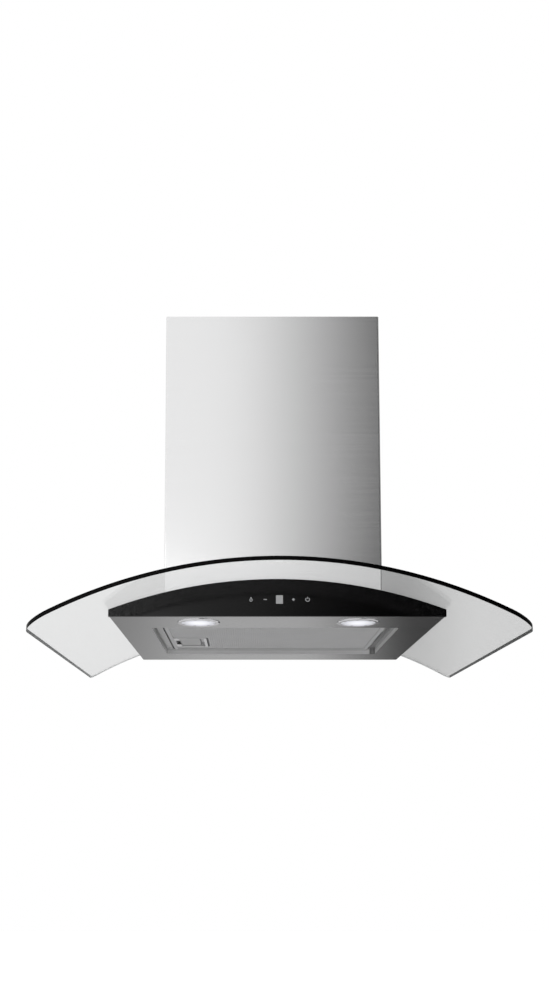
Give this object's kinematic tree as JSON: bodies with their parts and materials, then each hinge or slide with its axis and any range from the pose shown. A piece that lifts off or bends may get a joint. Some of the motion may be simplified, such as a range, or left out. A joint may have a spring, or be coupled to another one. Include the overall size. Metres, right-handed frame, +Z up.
{
  "type": "wall range hood",
  "caption": "Wall-mounted range hood with a bent glass canopy, black touch fascia, two lamps, hinged grease filter, inner blower and a telescoping steel chimney.",
  "frame": {"origin": "on the wall plane, in the middle of the four wall screws of the motor housing", "axes": "+X to the right seen from the room, +Y into the wall, +Z up; the room lies towards -Y"},
  "size_m": [0.598, 0.49, 0.5246],
  "materials": {
    "steel": "brushed stainless steel",
    "zinc": "galvanised sheet",
    "screw": "zinc-plated steel",
    "canopy_glass": "clear bent glass, dark at its edge",
    "black_glass": "black printed glass, gloss",
    "display": "clear window",
    "rubber": "matt black rubber",
    "foam": "foam tape",
    "board": "circuit board",
    "nylon": "natural nylon",
    "lamp_ring": "bright turned ring",
    "lamp_lens": "frosted lens",
    "lamp_body": "die-cast, matt",
    "driver": "white plastic",
    "aluminium": "anodised, matt",
    "mesh": "layered mesh",
    "scroll_plastic": "black moulded plastic",
    "wheel_plastic": "dark moulded plastic",
    "motor_metal": "zinc-plated end shells",
    "spring": "spring steel",
    "electronics": "grey plastic",
    "flap_plastic": "black moulded plastic"
  },
  "bodies": {
    "hood": {"board_spacers": "nylon", "cable_gland": "scroll_plastic", "canopy_shell": "steel", "canopy_top_plate": "zinc", "capacitor": "electronics", "capacitor_clip": "zinc", "chimney_lower": "steel", "chimney_screws": "screw", "control_box": "electronics", "cover_screws": "screw", "display_module": "electronics", "display_window": "display", "fascia_tape": "foam", "flap_pin": "screw", "front_fascia": "black_glass", "glass_canopy": "canopy_glass", "glass_nuts": "screw", "glass_screws": "screw", "glass_seal": "rubber", "housing_cover": "zinc", "housing_foot": "zinc", "housing_gasket": "rubber", "housing_shell": "zinc", "housing_top": "zinc", "lamp_bezel_left": "lamp_ring", "lamp_bezel_right": "lamp_ring", "lamp_lens_left": "lamp_lens", "lamp_lens_right": "lamp_lens", "lamp_module_left": "lamp_body", "lamp_module_right": "lamp_body", "led_driver": "driver", "motor": "motor_metal", "motor_bracket": "zinc", "motor_bushes": "rubber", "motor_screws": "screw", "outlet_collar": "zinc", "scroll_back": "scroll_plastic", "scroll_front": "scroll_plastic", "stop_bracket_front_left": "zinc", "stop_bracket_front_right": "zinc", "stop_bracket_rear_left": "zinc", "stop_bracket_rear_right": "zinc", "touch_board": "board"},
    "upper_chimney": {"chimney_upper": "steel", "top_bracket": "zinc", "top_screws": "screw"},
    "rotor": {"impeller": "wheel_plastic", "impeller_front": "wheel_plastic", "impeller_rear": "wheel_plastic", "motor_shaft": "screw", "hub_nut": "screw"},
    "flap_l": {"flap_left": "flap_plastic"},
    "flap_r": {"flap_right": "flap_plastic"},
    "filter": {"filter_frame": "aluminium", "filter_mesh": "mesh", "filter_tongues": "aluminium", "latch_tray": "steel", "latch_spring": "spring"},
    "latch": {"latch_slider": "steel"}
  },
  "joints": [
    {"name": "chimney_slide", "type": "slide", "parent": "hood", "child": "upper_chimney", "axis": [0, 0, 1], "range_m": [0, 0.36]},
    {"name": "wheel_spin", "type": "hinge", "parent": "hood", "child": "rotor", "pos_m": [-0.032, -0.092, -0.0205], "axis": [0, 1, 0], "continuous": true},
    {"name": "flap_left_swing", "type": "hinge", "parent": "hood", "child": "flap_l", "pos_m": [0, -0.092, 0.1475], "axis": [0, 1, 0], "range_deg": [0, 75]},
    {"name": "flap_right_swing", "type": "hinge", "parent": "hood", "child": "flap_r", "pos_m": [0, -0.092, 0.1475], "axis": [0, -1, 0], "range_deg": [0, 75]},
    {"name": "filter_swing", "type": "hinge", "parent": "hood", "child": "filter", "pos_m": [0.153, -0.187, -0.1752], "axis": [0, -1, 0], "range_deg": [0, 65]},
    {"name": "latch_slide", "type": "slide", "parent": "filter", "child": "latch", "axis": [1, 0, 0], "range_m": [0, 0.005], "stiffness_N_per_m": 300, "springref_m": -0.004}
  ]
}
